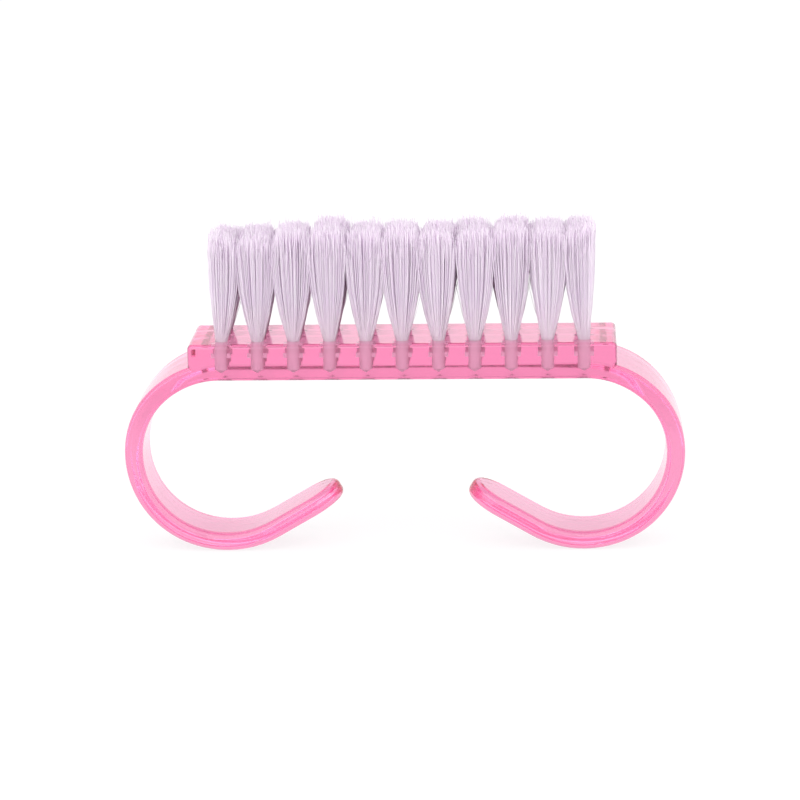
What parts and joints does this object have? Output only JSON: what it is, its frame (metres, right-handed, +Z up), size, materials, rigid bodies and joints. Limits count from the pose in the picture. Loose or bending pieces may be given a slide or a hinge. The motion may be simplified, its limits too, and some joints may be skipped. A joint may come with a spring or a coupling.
{
  "type": "nail brush",
  "caption": "Small nail dust brush: a clear pink bar with a scroll handle curling under each end, and rows of soft nylon tufts that bend and spring back.",
  "frame": {"origin": "on the ground under the middle of the brush, midway between the feet of its two scrolls", "axes": "+X along the bar, +Y across the bar, +Z up from the scrolls to the bristles"},
  "size_m": [0.066, 0.012, 0.0384],
  "materials": {
    "clear_pink_plastic": "glossy, transparent",
    "soft_nylon": "soft filament",
    "anchor_wire": "drawn wire"
  },
  "bodies": {
    "handle": {"handle_body": "clear_pink_plastic", "front_row_anchors": "anchor_wire", "middle_row_anchors": "anchor_wire", "rear_row_anchors": "anchor_wire"},
    "front_bristles": {"tuft_front_01": "soft_nylon", "tuft_front_02": "soft_nylon", "tuft_front_03": "soft_nylon", "tuft_front_04": "soft_nylon", "tuft_front_05": "soft_nylon", "tuft_front_06": "soft_nylon", "tuft_front_07": "soft_nylon", "tuft_front_08": "soft_nylon", "tuft_front_09": "soft_nylon", "tuft_front_10": "soft_nylon", "tuft_front_11": "soft_nylon"},
    "middle_bristles": {"tuft_middle_01": "soft_nylon", "tuft_middle_02": "soft_nylon", "tuft_middle_03": "soft_nylon", "tuft_middle_04": "soft_nylon", "tuft_middle_05": "soft_nylon", "tuft_middle_06": "soft_nylon", "tuft_middle_07": "soft_nylon", "tuft_middle_08": "soft_nylon", "tuft_middle_09": "soft_nylon", "tuft_middle_10": "soft_nylon", "tuft_middle_11": "soft_nylon"},
    "rear_bristles": {"tuft_rear_01": "soft_nylon", "tuft_rear_02": "soft_nylon", "tuft_rear_03": "soft_nylon", "tuft_rear_04": "soft_nylon", "tuft_rear_05": "soft_nylon", "tuft_rear_06": "soft_nylon", "tuft_rear_07": "soft_nylon", "tuft_rear_08": "soft_nylon", "tuft_rear_09": "soft_nylon", "tuft_rear_10": "soft_nylon", "tuft_rear_11": "soft_nylon"}
  },
  "joints": [
    {"name": "front_row_bend", "type": "hinge", "parent": "handle", "child": "front_bristles", "pos_m": [0, -0.0035, 0.02541], "axis": [1, 0, 0], "range_deg": [-25, 25], "stiffness_Nm_per_rad": 0.003, "deforming": ["tuft_front_01", "tuft_front_02", "tuft_front_03", "tuft_front_04", "tuft_front_05", "tuft_front_06", "tuft_front_07", "tuft_front_08", "tuft_front_09", "tuft_front_10", "tuft_front_11"]},
    {"name": "middle_row_bend", "type": "hinge", "parent": "handle", "child": "middle_bristles", "pos_m": [0, 0, 0.02541], "axis": [1, 0, 0], "range_deg": [-25, 25], "stiffness_Nm_per_rad": 0.003, "deforming": ["tuft_middle_01", "tuft_middle_02", "tuft_middle_03", "tuft_middle_04", "tuft_middle_05", "tuft_middle_06", "tuft_middle_07", "tuft_middle_08", "tuft_middle_09", "tuft_middle_10", "tuft_middle_11"]},
    {"name": "rear_row_bend", "type": "hinge", "parent": "handle", "child": "rear_bristles", "pos_m": [0, 0.0035, 0.02541], "axis": [1, 0, 0], "range_deg": [-25, 25], "stiffness_Nm_per_rad": 0.003, "deforming": ["tuft_rear_01", "tuft_rear_02", "tuft_rear_03", "tuft_rear_04", "tuft_rear_05", "tuft_rear_06", "tuft_rear_07", "tuft_rear_08", "tuft_rear_09", "tuft_rear_10", "tuft_rear_11"]}
  ],
  "couplings": [
    {"joint": "front_row_bend", "follows": "middle_row_bend", "ratio": 1},
    {"joint": "rear_row_bend", "follows": "middle_row_bend", "ratio": 1}
  ]
}
